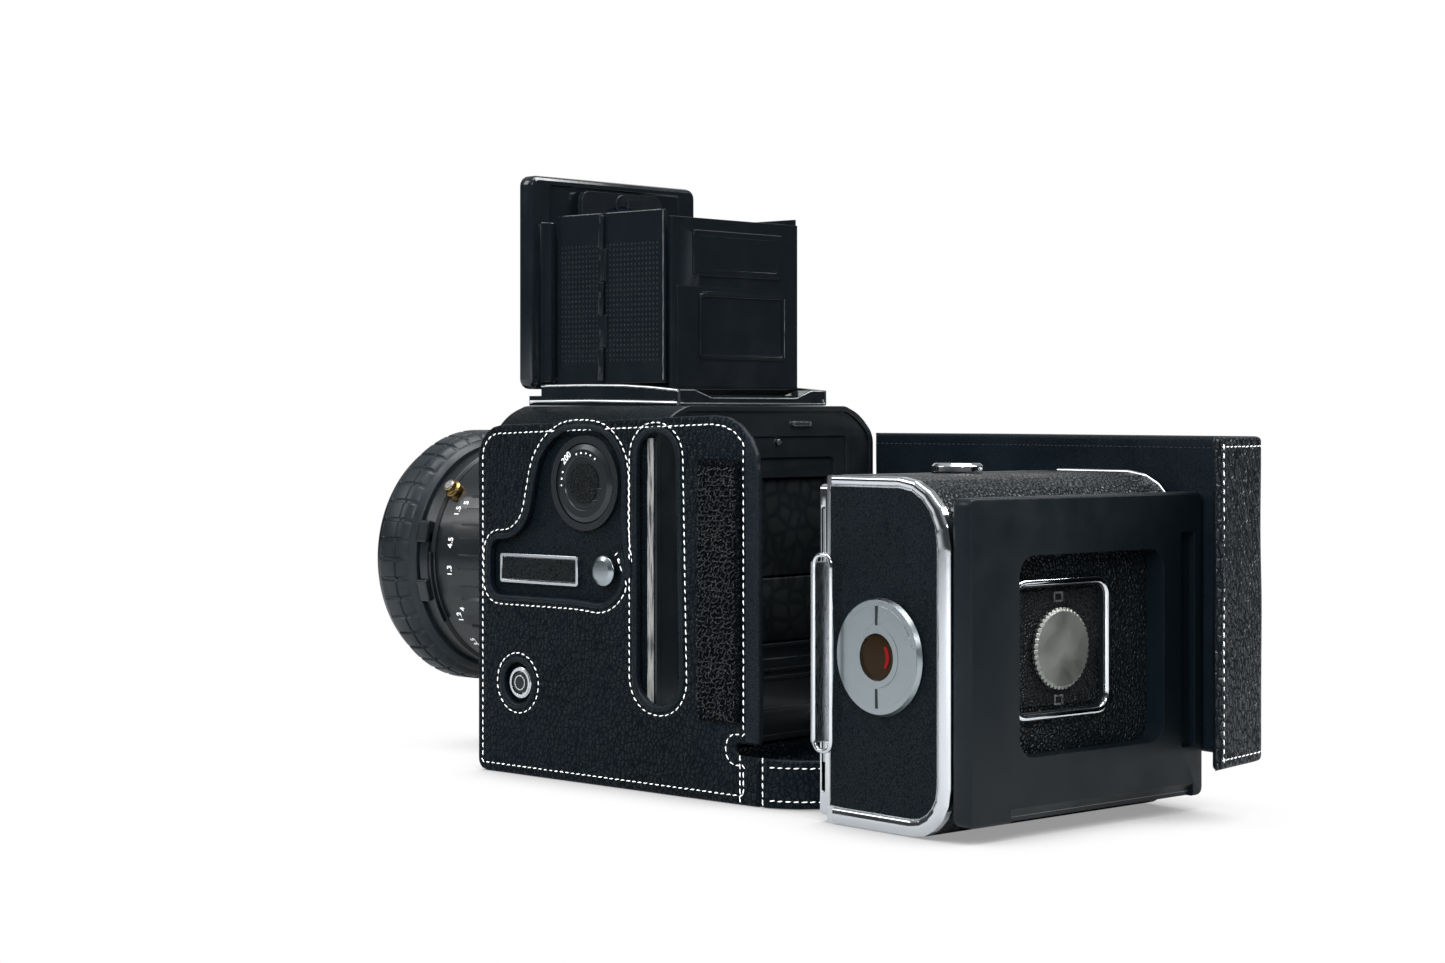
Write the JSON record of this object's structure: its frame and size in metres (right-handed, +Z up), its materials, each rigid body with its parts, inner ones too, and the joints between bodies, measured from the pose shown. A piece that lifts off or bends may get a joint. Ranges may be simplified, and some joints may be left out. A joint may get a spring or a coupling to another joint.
{
  "type": "modular reflex camera in a half case",
  "caption": "Boxy reflex camera in a stitched leather half case, folding hood up, with its film magazine detached behind it beside the open case flap.",
  "frame": {"origin": "on the ground under the centre of the camera body", "axes": "+Z up, +Y from the lens towards the film magazine, +X to the side with the nameplate"},
  "size_m": [0.1293, 0.2804, 0.174],
  "materials": {
    "case_leather": "pebbled",
    "leatherette": "fine grain",
    "loop_tape": "matte",
    "bright_chrome": "polished",
    "satin_steel": "satin",
    "brass": "polished",
    "black_enamel": "semi-gloss",
    "black_plastic": "satin",
    "ring_rubber": "matte",
    "door_lining": "textured",
    "optical_glass": "coated",
    "ground_glass": "frosted",
    "mirror_coat": "front surface"
  },
  "bodies": {
    "camera": {"body_shell": "leatherette", "front_plate": "leatherette", "rear_frame": "bright_chrome", "lens_mount_ring": "bright_chrome", "focusing_screen": "ground_glass", "tripod_foot": "satin_steel", "mirror_pin": "satin_steel", "dial_bezel": "black_enamel", "nameplate_frame": "bright_chrome", "strap_lug_left": "bright_chrome", "strap_lug_right": "bright_chrome", "flash_socket": "bright_chrome", "case_left_panel": "case_leather", "case_right_panel": "case_leather", "case_base": "case_leather", "case_strap": "case_leather", "velcro_strip": "loop_tape"},
    "mirror": {"mirror": "mirror_coat"},
    "upper_rear_door": {"upper_rear_door": "door_lining"},
    "lower_rear_door": {"lower_rear_door": "door_lining"},
    "winding_crank": {"crank_hub": "bright_chrome"},
    "crank_handle": {"crank_handle": "black_enamel"},
    "drive_gear": {"drive_gear": "brass"},
    "release_button": {"release_button": "bright_chrome"},
    "film_speed_dial": {"film_speed_dial": "black_enamel"},
    "lens": {"lens_barrel": "black_enamel", "lens_front_rim": "black_enamel", "front_element": "optical_glass", "rear_element": "optical_glass", "sync_terminal": "brass"},
    "focus_ring": {"focus_ring": "ring_rubber"},
    "aperture_ring": {"aperture_ring": "black_enamel"},
    "shutter_ring": {"shutter_ring": "black_enamel"},
    "case_screw": {"case_screw": "satin_steel"},
    "flap_side": {"flap_side_panel": "case_leather"},
    "flap_rear": {"flap_rear_panel": "case_leather"},
    "flap_tab": {"flap_tab": "case_leather"},
    "finder": {"finder_base": "black_enamel", "hood_lid": "black_enamel"},
    "leaf_front_left": {"hood_leaf_front_left": "black_enamel"},
    "leaf_rear_left": {"hood_leaf_rear_left": "black_enamel"},
    "leaf_front_right": {"hood_leaf_front_right": "black_enamel"},
    "leaf_rear_right": {"hood_leaf_rear_right": "black_enamel"},
    "hood_rear": {"hood_rear_panel": "black_enamel"},
    "magnifier": {"magnifier_plate": "black_enamel", "magnifier_lens": "optical_glass"},
    "magazine_catch": {"magazine_release_button": "satin_steel"},
    "magazine": {"magazine_shell": "leatherette", "magazine_front_frame": "bright_chrome", "magazine_side_plate": "bright_chrome", "film_insert_frame": "satin_steel", "slide_holder": "black_plastic", "reminder_frame": "bright_chrome"},
    "winding_key": {"winding_key": "satin_steel", "key_window": "optical_glass"},
    "dark_slide": {"dark_slide": "satin_steel"},
    "take_up_spool": {"take_up_spool": "black_plastic"},
    "supply_spool": {"supply_spool": "black_plastic"},
    "reminder_disc": {"reminder_disc": "satin_steel"}
  },
  "joints": [
    {"name": "mirror_lift", "type": "hinge", "parent": "camera", "child": "mirror", "pos_m": [0, 0.0252, 0.0893], "axis": [-1, 0, 0], "range_deg": [0, 45]},
    {"name": "upper_door_swing", "type": "hinge", "parent": "camera", "child": "upper_rear_door", "pos_m": [0, 0.0296, 0.0844], "axis": [-1, 0, 0], "range_deg": [0, 90]},
    {"name": "lower_door_swing", "type": "hinge", "parent": "camera", "child": "lower_rear_door", "pos_m": [0, 0.0296, 0.0382], "axis": [1, 0, 0], "range_deg": [0, 90]},
    {"name": "winding_crank_turn", "type": "hinge", "parent": "camera", "child": "winding_crank", "pos_m": [-0.05, -0.003, 0.06], "axis": [-1, 0, 0], "continuous": true},
    {"name": "crank_handle_fold", "type": "hinge", "parent": "winding_crank", "child": "crank_handle", "pos_m": [-0.0548, -0.003, 0.0475], "axis": [0, -1, 0], "range_deg": [0, 90]},
    {"name": "drive_gear_turn", "type": "hinge", "parent": "camera", "child": "drive_gear", "pos_m": [-0.038, 0.026, 0.023], "axis": [-1, 0, 0], "continuous": true},
    {"name": "shutter_release", "type": "slide", "parent": "camera", "child": "release_button", "axis": [0, 1, 0], "range_m": [0, 0.003]},
    {"name": "film_speed_dial_turn", "type": "hinge", "parent": "camera", "child": "film_speed_dial", "pos_m": [0.047, 0.0063, 0.0842], "axis": [1, 0, 0], "continuous": true},
    {"name": "lens_bayonet_turn", "type": "hinge", "parent": "camera", "child": "lens", "pos_m": [0, -0.04, 0.059], "axis": [0, -1, 0], "range_deg": [0, 60]},
    {"name": "focus_ring_turn", "type": "hinge", "parent": "lens", "child": "focus_ring", "pos_m": [0, -0.057, 0.059], "axis": [0, -1, 0], "range_deg": [0, 270]},
    {"name": "aperture_ring_turn", "type": "hinge", "parent": "lens", "child": "aperture_ring", "pos_m": [0, -0.0767, 0.059], "axis": [0, -1, 0], "range_deg": [-40, 40]},
    {"name": "shutter_ring_turn", "type": "hinge", "parent": "lens", "child": "shutter_ring", "pos_m": [0, -0.087, 0.059], "axis": [0, -1, 0], "range_deg": [-60, 60]},
    {"name": "case_screw_turn", "type": "hinge", "parent": "camera", "child": "case_screw", "pos_m": [0, -0.012, 0.004], "axis": [0, 0, 1], "continuous": true},
    {"name": "flap_side_fold", "type": "hinge", "parent": "camera", "child": "flap_side", "pos_m": [-0.0481, 0.0335, 0.0565], "axis": [0, 0, 1], "range_deg": [0, 75]},
    {"name": "flap_rear_fold", "type": "hinge", "parent": "flap_side", "child": "flap_rear", "pos_m": [-0.0492, 0.082, 0.0565], "axis": [0, 0, 1], "range_deg": [0, 75]},
    {"name": "flap_tab_fold", "type": "hinge", "parent": "flap_rear", "child": "flap_tab", "pos_m": [-0.0246, 0.1798, 0.0565], "axis": [0, 0, 1], "range_deg": [-20, 70]},
    {"name": "finder_slide", "type": "slide", "parent": "camera", "child": "finder", "axis": [0, 1, 0], "range_m": [0, 0.055]},
    {"name": "hood_leaf_fold", "type": "hinge", "parent": "finder", "child": "leaf_front_left", "pos_m": [0.0274, -0.0251, 0.137], "axis": [0, 0, 1], "range_deg": [0, 84]},
    {"name": "hood_leaf_fold_right", "type": "hinge", "parent": "finder", "child": "leaf_front_right", "pos_m": [-0.0274, -0.0251, 0.137], "axis": [0, 0, 1], "range_deg": [-84, 0]},
    {"name": "rear_leaf_fold_left", "type": "hinge", "parent": "leaf_front_left", "child": "leaf_rear_left", "pos_m": [0.0293, -0.0056, 0.137], "axis": [0, 0, 1], "range_deg": [-168, 0]},
    {"name": "rear_leaf_fold_right", "type": "hinge", "parent": "leaf_front_right", "child": "leaf_rear_right", "pos_m": [-0.0293, -0.0056, 0.137], "axis": [0, 0, 1], "range_deg": [0, 168]},
    {"name": "hood_rear_panel_fold", "type": "hinge", "parent": "finder", "child": "hood_rear", "pos_m": [0, 0.0198, 0.1113], "axis": [1, 0, 0], "range_deg": [0, 90]},
    {"name": "magnifier_flip", "type": "hinge", "parent": "finder", "child": "magnifier", "pos_m": [0, -0.02725, 0.1695], "axis": [1, 0, 0], "range_deg": [0, 90]},
    {"name": "magazine_dock", "type": "slide", "parent": "camera", "child": "magazine_catch", "axis": [-0.1823, -0.974, 0.1346], "range_m": [0, 0.07205], "deforming": ["case_left_panel", "velcro_strip", "case_strap"]},
    {"name": "magazine_yaw", "type": "hinge", "parent": "magazine_catch", "child": "magazine", "pos_m": [0.01314, 0.11108, 0.09], "axis": [0, 0, 1], "range_deg": [0, 6.29]},
    {"name": "winding_key_turn", "type": "hinge", "parent": "magazine", "child": "winding_key", "pos_m": [0.05859, 0.12187, 0.0435], "axis": [0.994, -0.1094, 0], "continuous": true},
    {"name": "dark_slide_pull", "type": "slide", "parent": "magazine", "child": "dark_slide", "axis": [0.994, -0.1094, 0], "range_m": [0, 0.065]},
    {"name": "take_up_spool_turn", "type": "hinge", "parent": "magazine", "child": "take_up_spool", "pos_m": [0.01533, 0.13096, 0.068], "axis": [0.994, -0.1094, 0], "continuous": true},
    {"name": "supply_spool_turn", "type": "hinge", "parent": "magazine", "child": "supply_spool", "pos_m": [0.01533, 0.13096, 0.02], "axis": [0.994, -0.1094, 0], "continuous": true},
    {"name": "reminder_disc_turn", "type": "hinge", "parent": "magazine", "child": "reminder_disc", "pos_m": [0.02248, 0.15029, 0.045], "axis": [0.1094, 0.994, 0], "continuous": true}
  ],
  "couplings": [
    {"joint": "upper_door_swing", "follows": "mirror_lift", "ratio": 2},
    {"joint": "lower_door_swing", "follows": "mirror_lift", "ratio": 2},
    {"joint": "drive_gear_turn", "follows": "winding_crank_turn", "ratio": 1},
    {"joint": "hood_leaf_fold_right", "follows": "hood_leaf_fold", "ratio": -1},
    {"joint": "rear_leaf_fold_left", "follows": "hood_leaf_fold", "ratio": -2},
    {"joint": "rear_leaf_fold_right", "follows": "hood_leaf_fold", "ratio": 2},
    {"joint": "magazine_yaw", "follows": "magazine_dock", "rad_per_m": 1.5212},
    {"joint": "supply_spool_turn", "follows": "take_up_spool_turn", "ratio": 1}
  ]
}
